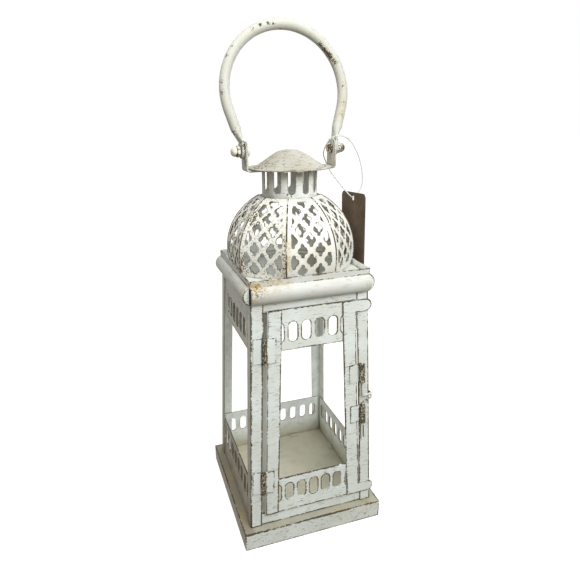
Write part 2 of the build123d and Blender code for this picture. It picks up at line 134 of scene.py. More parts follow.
def start_material(name):
    """An empty material, what adds nodes to it, and its object coordinates."""
    material = bpy.data.materials.new(name)
    material.use_nodes = True
    material.node_tree.nodes.clear()
    add = partial(add_node, material.node_tree)
    return material, add, add("TexCoord").outputs["Object"]


def end_material(add, looks):
    """Wires a shader with these looks to the output."""
    add("OutputMaterial", {"Surface": add("BsdfPrincipled", looks)})


print("white is", srgb("#ffffff"))

# %% [markdown]
# ## The worn paint
# The real finish is three layers: steel stained nearly black-brown, an off-white paint dragged on with a
# stiff brush, and a rub-down that bares the stain along edges and high spots. The eye reads it from the
# broken dark lines at each edge, the short level brush hairs, a few yellow-brown stains and a slow drift
# between a cool and a warm white. A picture of paint would blur close by, so each layer is a short function
# that works from noises with real sizes, and worn_paint lays them over each other.
#
# A piece tells the paint about its faces with three attributes. Crest is 1 at an edge and 0 a millimetre
# away from it, inside is 1 on the faces that look into the lantern, and the third is 1 on those that look left,
# which get painted shade.

# %% Colours of the paint, and what all its layers read
UNDERCOAT, UNDERCOAT_THIN = "#2b2416", "#5f4d2e"
HAIR = "#57523f"
OCHRE = "#b59a5c"
# GRIME_AND_SHADE is the grey of real scuffs and also of the painted shade
GRIME_AND_SHADE = "#8b8472"
# The left ledge colour is a painted shadow of the body, and the floor taupe is partly stain, partly painted shade.
LEDGE, LEFT_LEDGE_SHADOW = "#a6a496", "#8f8878"
FLOOR_TAUPE_STAIN_AND_SHADE = "#c5c0ac"
# The inner white is brighter than the outer paint: painted light on the faces that look inwards.
INNER_WHITE_PAINTED_LIGHT = "#f4f9f6"


def start_paint(name):
    """A material, and the places, noises and marks that the layers of its paint share."""
    material, add, place = start_material(name)
    x, y, z = add("SeparateXYZ", (place,)).outputs
    scuff = add("TexNoise", {"Vector": place, "Scale": 1 / (9 * mm), "Detail": 5.0, "Roughness": 0.7})
    patch = add("TexNoise", {"Vector": place, "Scale": 1 / (16 * mm), "Detail": 2.0})
    within = add("Attribute", attribute_name="inside").outputs["Fac"]
    base = SimpleNamespace(add=add, place=place, x=x, y=y, z=z, scuff=scuff, patch=patch, within=within)
    return material, base


print("the undercoat runs from", UNDERCOAT, "to", UNDERCOAT_THIN)

# %% [markdown]
# ### The coat
# Under the wear, the coat itself differs from place to place. Outer faces were brushed, and the level top of
# the plinth has dust, taupe inside, partly stain and partly painted shade, and darker on the left ledge as a
# painted shadow. Faces that look inwards were sprayed and never rubbed, and their white is brighter, a
# painted light. Separate materials would show a hard line between them, so the paint mixes them by height,
# by place and by the inside attribute.

# %% The coat, the level tops and the inner faces
wall_inside, wall_outside = 50 * mm, 53 * mm


def brushed_coat(base, pale, deep):
    """Two whites that drift into each other every few centimetres."""
    drift = base.add("TexNoise", {"Vector": base.place, "Scale": 1 / (28 * mm), "Detail": 2.0})
    tone = base.add("MapRange", {"Value": drift, "From Min": 0.38, "From Max": 0.62})
    return base.add("Mix", {0: tone, 6: srgb(pale), 7: srgb(deep)}, data_type="RGBA")


def scuffed(base, paint):
    """Grey scuffs over a paint."""
    share = base.add("MapRange", {"Value": base.scuff, "From Min": 0.45, "From Max": 0.75, "To Max": 0.35})
    return base.add("Mix", {0: share, 6: paint, 7: srgb(GRIME_AND_SHADE)}, data_type="RGBA")


def dusty_and_shaded_tops(base, paint, shelf):
    """Above a height the top is darker: taupe on the candle floor, partly stain and partly painted shade, grey on
    the ledge outside, and darker on its left, a painted shadow of the body.
    """
    add = base.add
    level = add("MapRange", {"Value": base.z, "From Min": shelf * mm, "From Max": (shelf + 0.2) * mm})
    x_aside = add("Math", (base.x,), operation="ABSOLUTE")
    y_aside = add("Math", (base.y,), operation="ABSOLUTE")
    out = add("Math", (x_aside, y_aside), operation="MAXIMUM")
    outdoors = add("MapRange", {"Value": out, "From Min": wall_inside, "From Max": wall_outside})
    left = add("MapRange", {"Value": base.x, "From Min": -wall_inside, "From Max": -wall_outside})
    top = add("Mix", {0: outdoors, 6: srgb(FLOOR_TAUPE_STAIN_AND_SHADE), 7: srgb(LEDGE)}, data_type="RGBA")
    top = add("Mix", {0: left, 6: top, 7: srgb(LEFT_LEDGE_SHADOW)}, data_type="RGBA")
    top = scuffed(base, top)
    return add("Mix", {0: level, 6: paint, 7: top}, data_type="RGBA"), level


def inner_coat_with_painted_light(base, paint):
    """Faces that look into the lantern were sprayed plain, in a white brighter than outside, which is painted
    light; near the floor they turn taupe, partly stain and partly painted shade.
    """
    dust_and_shade_low = base.add("MapRange", {"Value": base.z, "From Min": 33 * mm, "From Max": 17 * mm})
    plain = {0: dust_and_shade_low, 6: srgb(INNER_WHITE_PAINTED_LIGHT), 7: srgb(FLOOR_TAUPE_STAIN_AND_SHADE)}
    plain = scuffed(base, base.add("Mix", plain, data_type="RGBA"))
    return base.add("Mix", {0: base.within, 6: paint, 7: plain}, data_type="RGBA")


print("the walls stand between", wall_inside / mm, "and", wall_outside / mm, "mm from the axis")

# %% [markdown]
# ### Rubbed edges
# Along an edge the paint is rubbed off in short level strokes. They come from a noise that is cut off at a
# limit, because a noise that only fades would look like dirt. On curved pieces the Bevel node finds edges
# that aren't marked, since its normal leans away from the true one there.


# %% Rubbed edges
def paint_edge(base, rub_width):
    """The crest attribute, and on curved pieces also the corners that the Bevel node finds."""
    add = base.add
    edge = add("Attribute", attribute_name="crest").outputs["Fac"]
    if not rub_width:
        return edge
    eased = add("Bevel", {"Radius": rub_width * mm}, samples=6)
    true = add("NewGeometry").outputs["Normal"]
    agree = add("VectorMath", (eased, true), operation="DOT_PRODUCT")
    corner = add("MapRange", {"Value": agree, "From Min": 0.995, "From Max": 0.86})
    return add("Math", (corner, edge), operation="MAXIMUM")


def rubbed_edges(base, edge, rub, leftward_shade_and_wear):
    """Bare undercoat by the edges, in short level strokes that come and go in patches."""
    add = base.add
    strokes = (1 / (1.9 * mm), 1 / (1.9 * mm), 1 / (0.95 * mm))
    stroke = add("Mapping", {"Vector": base.place, "Scale": strokes})
    grit = add("TexNoise", {"Vector": stroke, "Scale": 1.0, "Detail": 3.0, "Roughness": 0.6})
    ragged = add("Math", (grit, 3.6, edge), operation="MULTIPLY_ADD")
    rubbed = add("Math", (base.patch, 3.0, ragged), operation="MULTIPLY_ADD")
    # Edges are barer on the left side, which darkens it partly as painted shade.
    if leftward_shade_and_wear is not None:
        rubbed = add("Math", (rubbed, leftward_shade_and_wear), operation="ADD")
    limit = 4.4 - 0.9 * rub
    worn = add("MapRange", {"Value": rubbed, "From Min": limit, "From Max": limit + 0.25})
    near = add("MapRange", {"Value": edge, "From Min": 0.03, "From Max": 0.2})
    return add("Math", (worn, near), operation="MULTIPLY")


print("edge wear: strokes of 1.9 by 0.95 mm")

# %% [markdown]
# ### Chips and stains
# Open surfaces have small chips, and yellow-brown stains as from old varnish. Both are noises over the whole
# piece, and a list of marks makes them stronger round some points, as a hand with a sponge would.


# %% Chips and stains
def chips_and_stains(base, flake, chips, stain, marks, leftward_shade_and_wear):
    """Chips in the open surface and ochre stains, with more of both round the marks."""
    add = base.add
    cloud = add("TexNoise", {"Vector": base.place, "Scale": 1 / (12 * mm), "Detail": 4.0, "Roughness": 0.65})
    tinged = add("MapRange", {"Value": cloud, "From Min": 0.50, "From Max": 0.74, "To Max": stain})
    smear = add("TexNoise", {"Vector": base.place, "Scale": 1 / (5 * mm), "Detail": 6.0, "Roughness": 0.75})
    blotch = add("MapRange", {"Value": smear, "From Min": 0.44, "From Max": 0.64})
    flaked = flake
    for point, reach, bareness, tint in marks:
        away = add("VectorMath", (base.place, Vector(point) * mm), operation="DISTANCE")
        by_it = add("MapRange", {"Value": away, "From Min": reach * mm, "From Max": 0.0})
        flaked = add("Math", (by_it, bareness, flaked), operation="MULTIPLY_ADD")
        local = add("Math", (by_it, blotch), operation="MULTIPLY")
        tinged = add("Math", (local, tint, tinged), operation="MULTIPLY_ADD")
    # More chips on the left side, which darkens it partly as painted shade.
    if leftward_shade_and_wear is not None:
        flaked = add("Math", (leftward_shade_and_wear, 0.2, flaked), operation="MULTIPLY_ADD")
    few = 0.78 - 0.12 * chips
    chip = add("MapRange", {"Value": flaked, "From Min": few, "From Max": few + 0.03})
    return chip, tinged


print("stains of", OCHRE, "in smears of 5 mm")

# %% [markdown]
# ### What lies on the paint, and painted shade
# A stiff brush leaves dark hairs in wet paint, all along its stroke, so their noise is stretched sideways.
# Where surfaces meet, a grey painted shade comes from the Ambient Occlusion node. The faces that look left
# and the left of the dome and cap get painted shade too.


# %% Brush hairs and painted shade
def brush_hairs(base, hairs, hair_size, hair_turn, hair_cover):
    """The bristles' lines. Real ones are finer than a pixel, so these are half a millimetre thick."""
    add = base.add
    long, thick = hair_size
    across = (1 / (long * mm), 1 / (long * mm), 1 / (thick * mm))
    laid = add("Mapping", {"Vector": base.place, "Rotation": (0, hair_turn, 0), "Scale": across})
    bristle = add("TexNoise", {"Vector": laid, "Scale": 1.0, "Detail": 2.0, "Distortion": 0.3})
    line = add("MapRange", {"Value": bristle, "From Min": 0.58, "From Max": 0.66})
    clump = add("TexNoise", {"Vector": base.place, "Scale": 1 / (8 * mm), "Detail": 2.0})
    some = {"Value": clump, "From Min": 0.42, "From Max": 0.66, "To Min": hair_cover * hairs, "To Max": hairs}
    some = add("MapRange", some)
    dragged = add("Math", (line, some), operation="MULTIPLY")
    fainter = add("MapRange", {"Value": base.within, "To Min": 1.0, "To Max": 0.25})
    return bristle, add("Math", (dragged, fainter), operation="MULTIPLY")


def painted_shade_layer(base, flake, leftward_shade_and_wear):
    """Painted shade in crevices and on the faces that look left, darker low down, and on the left of dome and cap.
    """
    add = base.add
    # Painted shade in crevices, from ambient occlusion
    hollow = add("AmbientOcclusion", {"Distance": 4 * mm}, samples=4).outputs["AO"]
    crevice_shade = add("MapRange", {"Value": hollow, "From Min": 0.6, "From Max": 0.1, "To Max": 0.5})
    left_face_shade = add("Attribute", attribute_name="left_face_shade").outputs["Fac"]
    # Painted shade on the faces that look left, darker low down
    thick = {"Value": base.z, "From Min": 30 * mm, "From Max": 215 * mm, "To Min": 1.2, "To Max": 0.25}
    thick = add("MapRange", thick)
    left_shade_low = add("MapRange", {"Value": base.scuff, "From Min": 0.3, "From Max": 0.7, "To Min": 0.6})
    left_shade_low = add("Math", (left_shade_low, thick), operation="MULTIPLY")
    left_shade_low = add("Math", (left_shade_low, left_face_shade), operation="MULTIPLY")
    painted_shade_share = add("Math", (crevice_shade, left_shade_low), operation="MAXIMUM")
    # Painted shade on the left of the dome and the cap
    if leftward_shade_and_wear is not None:
        film = add("MapRange", {"Value": flake, "From Min": 0.40, "From Max": 0.62})
        left_side_shade = add("Math", (leftward_shade_and_wear, film), operation="MULTIPLY")
        painted_shade_share = add("Math", (painted_shade_share, left_side_shade), operation="MAXIMUM")
    return painted_shade_share


print("hairs of", HAIR, "and grime of", GRIME_AND_SHADE)

# %% [markdown]
# ### The layers laid over each other
# The order is the one in which the finish came about, with painted shade put in after the stains: coat,
# stains, painted shade, brush hairs, and last the bare undercoat. The paint film has a thickness, so its
# hairs stand out a little and its chips are sunk, which a Bump node gives without any more faces.


# %% All layers of the paint
def worn_paint(
    name, pale, deep, rub=0.5, rub_width=0.0, hairs=0.5, hair_size=(6.0, 0.6), hair_turn=0.0,
    hair_cover=0.15, stain=0.1, chips=0.2, chip_size=3.0, marks=(), left_shade_and_wear=0.0, shelf=None,
):
    """Brushed and rubbed paint. Shares start from 0, for none, and sizes are in millimetres.

    A mark is a place, how far it reaches, and how much barer and more stained the paint is there. The left
    side is darkened by its own share, partly with painted shade and partly with more wear, and shelf is the height
    from which a top is level, with dust and painted shade.
    """
    material, base = start_paint(name)
    add = base.add
    leftward_shade_and_wear = None
    # The left side is darkened, partly with painted shade and partly with more wear.
    if left_shade_and_wear:
        leftward_shade_and_wear = add("MapRange", {"Value": base.x, "From Min": 2 * mm, "From Max": -30 * mm, "To Max": left_shade_and_wear})
    flake = {"Vector": base.place, "Scale": 1 / (chip_size * mm), "Detail": 4.0, "Roughness": 0.65}
    flake = add("TexNoise", flake)

    paint = brushed_coat(base, pale, deep)
    bristle, dragged = brush_hairs(base, hairs, hair_size, hair_turn, hair_cover)
    if shelf:
        paint, level = dusty_and_shaded_tops(base, paint, shelf)
        brushed = add("Math", (1.0, level), operation="SUBTRACT")
        dragged = add("Math", (dragged, brushed), operation="MULTIPLY")
    paint = inner_coat_with_painted_light(base, paint)
    painted_shade_share = painted_shade_layer(base, flake, leftward_shade_and_wear)
    chip, tinged = chips_and_stains(base, flake, chips, stain, marks, leftward_shade_and_wear)
    rubbed = rubbed_edges(base, paint_edge(base, rub_width), rub, leftward_shade_and_wear)
    outer = add("Math", (1.0, base.within), operation="SUBTRACT")
    bared = add("Math", (rubbed, chip), operation="MAXIMUM")
    bared = add("Math", (bared, outer), operation="MULTIPLY")

    brown = add("Mix", {0: base.patch, 6: srgb(UNDERCOAT), 7: srgb(UNDERCOAT_THIN)}, data_type="RGBA")
    for share, colour in ((tinged, srgb(OCHRE)), (painted_shade_share, srgb(GRIME_AND_SHADE)), (dragged, srgb(HAIR)), (bared, brown)):
        paint = add("Mix", {0: share, 6: paint, 7: colour}, data_type="RGBA")
    dull = add("MapRange", {"Value": bared, "To Min": 0.6, "To Max": 0.7})
    film = add("Math", (bristle, bared), operation="SUBTRACT")
    relief = add("Bump", {"Height": film, "Strength": 0.3, "Distance": 0.15 * mm})
    end_material(add, {"Base Color": paint, "Roughness": dull, "Specular IOR Level": 0.35, "Normal": relief})
    return material


print("the paint's roughness is 0.6, and 0.7 where it is bare")

# %% [markdown]
# ## The paints of the lantern
# Every piece had the same pot of paint, but not the same brush and use. The posts and the door were brushed
# across and rubbed hard. The dome, the cap and the handle are smoother and creamier, and chipped instead. So
# each group has its own paint, made by the one function, and its marks are where the wear is plainest.

# %% Paints of the body
# A cool white, with dark broken edges and many level hairs
body_paint = worn_paint("antique_white_brushed_paint", "#e4eae6", "#dbdfd8", rub=0.95, hairs=0.8, stain=0.05)
# The same white, put on over the leaves with less rubbing
fitting_paint = worn_paint("brushed_paint_over_leaves", "#e4eae6", "#dbdfd8", rub=0.4, hairs=0.4, stain=0.05)
# Brighter than the body's white, a painted light on the folded edge, which stands in shade
fold_paint_with_painted_light = worn_paint("folded_edge_paint_with_painted_light", "#f6f8f5", "#eceee8", rub=0.85, hairs=0.6, stain=0.05)
# Dark brown in the walls of the slots, which is painted shade
slot_wall_shade_paint = worn_paint(
    "painted_shade_in_slot_walls", "#6f6350", "#574a36", rub=0.3, hairs=0.2, stain=0.2, chips=0.5,
)
# Smooth on the bead, with ochre stains at its ends
cornice_paint = worn_paint(
    "cornice_white_paint", "#cfd1cc", "#c9c8c0", rub=0.45, hairs=0.4, stain=0.1, chips=0.35, chip_size=1.4,
    marks=[
        ((-38, -47, 222), 13, 0.14, 1.1), ((-24, -47, 222), 12, 0.1, 1.0), ((-43, -51, 213), 11, 0.16, 0.7),
        ((44, -51, 213), 8, 0.1, 0.7), ((-49, -44, 218), 10, 0.16, 0.8),
    ],
)
# Short thick hairs on the sides, and dust on the level top
plinth_paint = worn_paint(
    "plinth_white_paint", "#e2e7e3", "#d9ddd5", rub=0.8, hairs=0.95, hair_size=(3.2, 0.7), hair_cover=0.5,
    stain=0.06, chips=0.6, chip_size=1.2, shelf=15.1,
    marks=[
        ((22, -57, 15.5), 14, 0.1, 0.7), ((48, -57, 15.5), 12, 0.14, 0.9), ((-30, -57, 15.5), 12, 0.08, 0.5),
        ((-57, -35, 15.5), 16, 0.1, 0.6), ((-57, 10, 15.5), 16, 0.1, 0.7),
    ],
)
print("paints of the body", [material.name for material in bpy.data.materials])

# %% [markdown]
# ### Dome and cap
# Weather reaches the roof first. The dome's left panels are dotted with bare spots, and the cap is the
# dullest piece, scratched all round. Larger shares of chips, and a left side darkened partly with painted shade
# and partly with wear, tell this to the same function.

# %% Paints of the dome and the cap
dome_marks = [
    ((-18, -46, 233), 12, 0.12, 1.1), ((-19, -45, 248), 9, 0.1, 0.8), ((0, -47, 236), 16, 0.04, 0.6),
    ((-45, -20, 229), 12, 0.12, 0.8), ((-34, -15, 264), 12, 0.14, 0.8),
]
# A smooth cream with small chips
dome_paint = worn_paint(
    "dome_cream_paint", "#e6e6df", "#dedcd2", rub=0.25, hairs=0.1, stain=0.15, chips=0.7, chip_size=1.3,
    marks=dome_marks,
)
# Dotted all over with the stain, as on the two panels at the left, with a little painted shade on the left side
dotted_dome_paint = worn_paint(
    "dome_paint_dotted_with_stain", "#f3f3ec", "#ebe9df", rub=0.55, hairs=0.3, stain=0.15, chips=1.45,
    chip_size=1.1, left_shade_and_wear=0.08, marks=dome_marks,
)
# Rubbed brown along the soldered seams
seam_paint = worn_paint("rubbed_seam_paint", "#e6e3d6", "#d8d2bf", rub=0.75, hairs=0.1, stain=0.5, chips=0.8)
# A clean grey-white with a few ochre runs, paler than the body's white as painted light in the shade under the cap
collar_paint_with_painted_light = worn_paint(
    "collar_grey_paint_lightened", "#eff1eb", "#e3e5de", rub=0.3, rub_width=1.2, hairs=0.2, stain=0.15, chips=0.4,
    chip_size=1.5,
    marks=[((1, -21, 291), 7, 0.1, 0.9), ((10, -18, 281), 10, 0.14, 1.0), ((-9, -19, 277), 9, 0.2, 0.3)],
)
# A dull cream, scratched in long slanting hairs, with painted shade and more wear on its left side
cap_paint = worn_paint(
    "cap_cream_paint", "#b4b2a9", "#a9a598", rub=0.4, rub_width=1.6, hairs=1.0, hair_size=(5.0, 0.45),
    hair_turn=0.6, hair_cover=0.4, stain=0.15, chips=1.1, chip_size=1.5, left_shade_and_wear=0.3,
    marks=[
        ((-4, -8, 307), 5, 0.12, 0.3), ((-30, -5, 295), 11, 0.1, 0.6), ((32, -4, 295), 9, 0.12, 0.9),
        ((-8, -29, 295), 8, 0.08, 0.4), ((-18, -6, 301), 9, 0.06, 0.3),
    ],
)
print("paints so far", len(bpy.data.materials))

# %% [markdown]
# ### Handle and fittings
# The handle is scraped along its bends, where hands and hooks rub. Each scrape is a mark at its place on the
# real handle, because a noise alone would spread the wear evenly.

# %% Paints of the handle and the fittings
# Smooth cream, scraped to the stain where hands and hooks rub
handle_paint = worn_paint(
    "handle_cream_paint", "#c7c8c0", "#c1c0b5", rub=0.35, rub_width=1.4, hairs=0.05, stain=0.15, chips=0.4,
    chip_size=1.0,
    marks=[
        ((28, 11, 380), 3.2, 0.4, 0.3), ((31, 11, 377), 3.6, 0.42, 0.3), ((34, 10, 374), 3.6, 0.42, 0.3),
        ((36, 9, 371), 3.6, 0.42, 0.3), ((39, 8, 368), 3.2, 0.4, 0.3), ((-17, 12, 392), 3.0, 0.42, 0.1),
        ((-11, 12, 393), 2.6, 0.38, 0.1), ((-7, 12, 393), 2.4, 0.36, 0.1), ((-23, 12, 389), 2.6, 0.38, 0.1),
        ((-1, 15, 390), 2.6, 0.34, 0.1), ((-49, 5, 355), 4.0, 0.42, 0.2), ((-49, 4, 348), 4.0, 0.42, 0.2),
        ((-43, 9, 372), 3.6, 0.34, 0.1), ((-38, 10, 378), 3.0, 0.3, 0.1), ((44, 2, 340), 7, 0.18, 0.6),
        ((42, 1, 331), 6, 0.2, 0.9), ((45, 4, 352), 6, 0.22, 0.3), ((-41, 0, 321), 5, 0.26, 0.2),
        ((-35, -4, 312), 6, 0.34, 0.2), ((-35, -3, 300), 6, 0.34, 0.2),
    ],
)
# Cream on the high spots only
bolt_paint = worn_paint(
    "bolt_cream_paint", "#e4e2d6", "#d6d0bd", rub=0.8, rub_width=1.2, hairs=0.05, stain=0.4, chips=1.5,
    chip_size=1.4,
    marks=[((32, -3, 308), 5, 0.3, 0.3), ((43, -2, 308), 5, 0.3, 0.3), ((-41, -3, 306), 3, 0.2, 0.1)],
)
# White in front, and worn grey-brown on the arm that a finger turns
wire_paint = worn_paint(
    "scraped_paint_on_wire", "#e2e4de", "#d2d1c6", rub=0.85, hairs=0.1, chips=1.3, chip_size=1.4,
    marks=[((47.5, -52, 112), 7, 0.4, 0.3)],
)
print("paints in all", len(bpy.data.materials))

# %% [markdown]
# ## Brass barrels
# The hinge and latch barrels were left out of the paint: they are antiqued brass, dark in the hollows and
# worn to a paler gold on their high spots. The dark film isn't a metal to the eye, so only about half of the
# shading is metallic, and one noise drives the colour, the gloss and the relief together.


# %% Antiqued brass
def antiqued_brass(name):
    """Brass darkened in a bath, then worn bright where it is touched."""
    material, add, place = start_material(name)
    grain = (1 / (1 * mm), 1 / (1 * mm), 1 / (1.6 * mm))
    laid = add("Mapping", {"Vector": place, "Scale": grain})
    wear = add("TexNoise", {"Vector": laid, "Scale": 1.0, "Detail": 4.0, "Roughness": 0.65})
    bright = add("MapRange", {"Value": wear, "From Min": 0.49, "From Max": 0.62})
    colour = add("Mix", {0: bright, 6: srgb("#332a17"), 7: srgb("#c8bfa4")}, data_type="RGBA")
    gloss = add("MapRange", {"Value": bright, "To Min": 0.55, "To Max": 0.32})
    relief = add("Bump", {"Height": wear, "Strength": 0.4, "Distance": 0.12 * mm})
    end_material(add, {"Base Color": colour, "Roughness": gloss, "Metallic": 0.55, "Normal": relief})
    return material


brass = antiqued_brass("antiqued_brass")
print("made", brass.name)

# %% [markdown]
# ## Card and thread
# The hang tag is plain brown card, and its string a white thread. Each gets a texture that runs the way its
# surface was made: card is pressed from fibres that lie mostly one way, and thread is twisted.


# %% Card and thread
def brown_card(name):
    """Uncoated card: short fibres in two browns, quite matte."""
    material, add, place = start_material(name)
    fibres = (1 / (2 * mm), 1 / (0.7 * mm), 1 / (3.5 * mm))
    laid = add("Mapping", {"Vector": place, "Scale": fibres})
    fibre = add("TexNoise", {"Vector": laid, "Scale": 1.0, "Detail": 4.0, "Roughness": 0.7})
    cloud = add("TexNoise", {"Vector": place, "Scale": 1 / (25 * mm), "Detail": 2.0})
    mixed = add("Math", (fibre, cloud), operation="MULTIPLY")
    tone = add("MapRange", {"Value": mixed, "From Min": 0.12, "From Max": 0.40})
    colour = add("Mix", {0: tone, 6: srgb("#503f2f"), 7: srgb("#7e6c58")}, data_type="RGBA")
    relief = add("Bump", {"Height": fibre, "Strength": 0.25, "Distance": 0.1 * mm})
    end_material(add, {"Base Color": colour, "Roughness": 0.85, "Normal": relief})
    return material


def white_thread(name):
    """Twisted cotton thread, whose plies show as soft bands, drawn coarser than they are."""
    material, add, place = start_material(name)
    ply = {"Vector": place, "Scale": 1 / (3 * mm), "Distortion": 1.0, "Detail": 1.0}
    ply = add("TexWave", ply).outputs["Fac"]
    colour = add("Mix", {0: ply, 6: srgb("#c9cac8"), 7: srgb("#e2e2df")}, data_type="RGBA")
    relief = add("Bump", {"Height": ply, "Strength": 0.3, "Distance": 0.1 * mm})
    end_material(add, {"Base Color": colour, "Roughness": 0.8, "Normal": relief})
    return material


card = brown_card("uncoated_brown_card")
thread = white_thread("twisted_cotton_thread")
print("materials", len(bpy.data.materials))

# %% [markdown]
# ## The string of the hang tag
# A thin thread is looped round the foot of the handle, and both its ends lie in the hole of the tag. It is
# one smooth spline close to the frame's own tube, given a round section, which is how any cord is made.

# %% String
string_diameter = 0.9 * mm
string_spread = 1.4 * mm
tag_low, tag_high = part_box("hang_tag")
hole = Vector(((tag_low.x + tag_high.x) / 2, -1.0 * mm, 268.6 * mm))
string_points = (
    (50.8, -0.6, 270.6), (46.6, 4.4, 277.0), (42.2, 8.0, 283.4), (38.0, 10.2, 289.6), (34.2, 10.0, 296.6),
    (31.0, 8.4, 302.6), (29.8, 3.8, 307.0), (29.8, -2.0, 312.0), (31.6, -6.4, 316.0), (37.0, -7.6, 317.4),
    (44.6, -6.8, 315.0), (51.6, -5.4, 307.6), (57.2, -4.2, 297.0), (60.2, -3.2, 285.6), (60.4, -2.2, 275.6),
)
aside = Vector((0, string_spread / 2, 0))
route = [hole + aside, *[Vector(point) * mm for point in string_points], hole - aside]
string_curve = bpy.data.curves.new("tag_thread", "CURVE")
string_curve.dimensions = "3D"
spline = string_curve.splines.new("NURBS")
spline.points.add(len(route) - 1)
for point, position in zip(spline.points, route):
    point.co = (*position, 1.0)
spline.order_u = 3
spline.use_endpoint_u = True
spline.resolution_u = 12
string_curve.bevel_depth = string_diameter / 2
string_curve.bevel_resolution = 3
string_curve.use_fill_caps = True
string_curve.materials.append(thread)
string = bpy.data.objects.new("tag_thread", string_curve)
scene.collection.objects.link(string)
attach(string, body_of_node["tag_string"])
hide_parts("tag_string")
hang_tag = frame["nodes"]["hang_tag"]
hang_tag.data.materials.clear()
hang_tag.data.materials.append(card)
print("string points", len(route))

# %% [markdown]
# ## Pieces that keep the frame's shape
# Most of the lantern is cut and folded sheet, and the frame already has each plate with its slots. A copy
# of such a plate has its loose triangles joined into whole faces, and its sharp edges eased by a quarter
# of a millimetre, as paint and filing leave them. A Bevel modifier could ease them too, but the operator
# also says which faces are new, so the middle of each eased edge can be marked as a crest.

# %% Faces that lie on one plane, and the loop round them
same_plane = 0.02  # radians


def flat_groups(bm, left_out):
    """The faces of a mesh in groups that lie on one plane each."""
    waiting = set(bm.faces) - left_out
    groups = []
    while waiting:
        group = [waiting.pop()]
        for face in group:
            for edge in face.edges:
                for other in edge.link_faces:
                    if other in waiting and other.normal.angle(face.normal, 4.0) < same_plane:
                        waiting.remove(other)
                        group.append(other)
        groups.append(group)
    return groups


def longest_loop(rim):
    """The corners of the outer one of the loops that bound a group; the others go round its slots."""
    waiting = set(rim)
    loops = []
    while waiting:
        chain = [waiting.pop()]
        for edge in chain:
            for vert in edge.verts:
                joined = [other for other in vert.link_edges if other in waiting]
                waiting.difference_update(joined)
                chain.extend(joined)
        loops.append(chain)
    longest = max(loops, key=lambda chain: sum(edge.calc_length() for edge in chain))
    return {vert for edge in longest for vert in edge.verts}


print("faces within", round(math.degrees(same_plane), 2), "degrees share a plane")

# %% [markdown]
# ### Marks for the paint
# The paint has to know where an edge is and which way a face looks. A crest fades over about a millimetre,
# so the flat faces are inset by that band, and their new corners get nought. The other marks are read from
# each face's normal. They could be painted by hand, but not for forty plates.

# %% Mark the faces of a plate
edge_band = 1.1 * mm
least_breadth = 1.5 * mm
slot_crest = 0.6
feet_low, feet_high = 16 * mm, 19 * mm
walls = ("post_", "lower_", "upper_", "front_", "door_", "roof_", "cornice_", "vent_", "plinth")


def mark_bands(bm, rounded, crest):
    """Marks the rims of flat faces as crests, fainter at slots, and insets a band in which they fade."""
    for group in flat_groups(bm, rounded):
        inside = set(group)
        rim = [e for face in group for e in face.edges if any(other not in inside for other in e.link_faces)]
        beyond = {other for e in rim for other in e.link_faces} - inside
        if not rim or not beyond <= rounded:
            continue
        breadth = 2 * sum(face.calc_area() for face in group) / sum(e.calc_length() for e in rim)
        outline = longest_loop(rim)
        for vert in {vert for e in rim for vert in e.verts}:
            vert[crest] = 1.0 if vert in outline else slot_crest
        if breadth > least_breadth:
            band = min(edge_band, 0.3 * breadth)
            bmesh.ops.inset_region(bm, faces=group, thickness=band, use_boundary=True, use_even_offset=True)
            for vert in {vert for face in group for vert in face.verts}:
                vert[crest] = 0.0


def mark_sides(bm, node):
    """Marks the faces of a wall that look into the lantern, for a brighter white that is painted light, and the
    outer ones that look left, for painted shade.
    """
    inside_of = bm.faces.layers.float.new("inside")
    left_face_shade_of = bm.faces.layers.float.new("left_face_shade")
    for face in bm.faces if node.startswith(walls) else ():
        centre = face.calc_center_median()
        outwards = Vector((centre.x, centre.y, 0)).normalized()
        indoors = max(abs(centre.x), abs(centre.y)) < wall_inside
        on_the_floor = indoors and feet_low < centre.z < feet_high
        face[inside_of] = 1.0 if on_the_floor or face.normal.dot(outwards) < -0.3 else 0.0
        face[left_face_shade_of] = 1.0 if face.normal.x < -0.7 and centre.x < 0 else 0.0


print("a rubbed band is", edge_band / mm, "mm wide")

# %% [markdown]
# ### Eased edges
# With those marks at hand, a plate is copied, cleaned and eased. The bevel has two segments, so that each
# edge has one line of corners along its middle, and that line is the crest.

# %% Ease the edges of a plate
same_point = 0.002 * mm
sharp_angle = math.radians(32.0)


def eased_copy(node, width):
    """The node's mesh, merged and flattened, with its sharp edges bevelled and its faces marked."""
    bm = bmesh.new()
    bm.from_mesh(frame["nodes"][node].data)
    bmesh.ops.remove_doubles(bm, verts=bm.verts, dist=same_point)
    bmesh.ops.dissolve_limit(bm, angle_limit=math.radians(0.4), verts=bm.verts, edges=bm.edges)
    crest = bm.verts.layers.float.new("crest")
    sharp = [e for e in bm.edges if len(e.link_faces) == 2 and e.calc_face_angle() > sharp_angle]
    made = bmesh.ops.bevel(
        bm, geom=sharp, offset=width, offset_type="OFFSET", segments=2, profile=0.5, affect="EDGES",
        clamp_overlap=True, material=-1,
    )
    rounded = {face for face in made["faces"] if face.is_valid}
    for vert in made["verts"]:
        if vert.is_valid and all(face in rounded for face in vert.link_faces):
            vert[crest] = 1.0
    mark_bands(bm, rounded, crest)
    mark_sides(bm, node)
    return bm


print("edges sharper than", round(math.degrees(sharp_angle)), "degrees are eased")

# %% [markdown]
# ## Dressing the plates
# Each eased plate becomes an object that rides on its body and stands for its node. It is shaded smooth but
# for its sharp corners, so that an eased edge catches the light as one soft line.

# %% Place a piece
smooth_angle = math.radians(35.0)


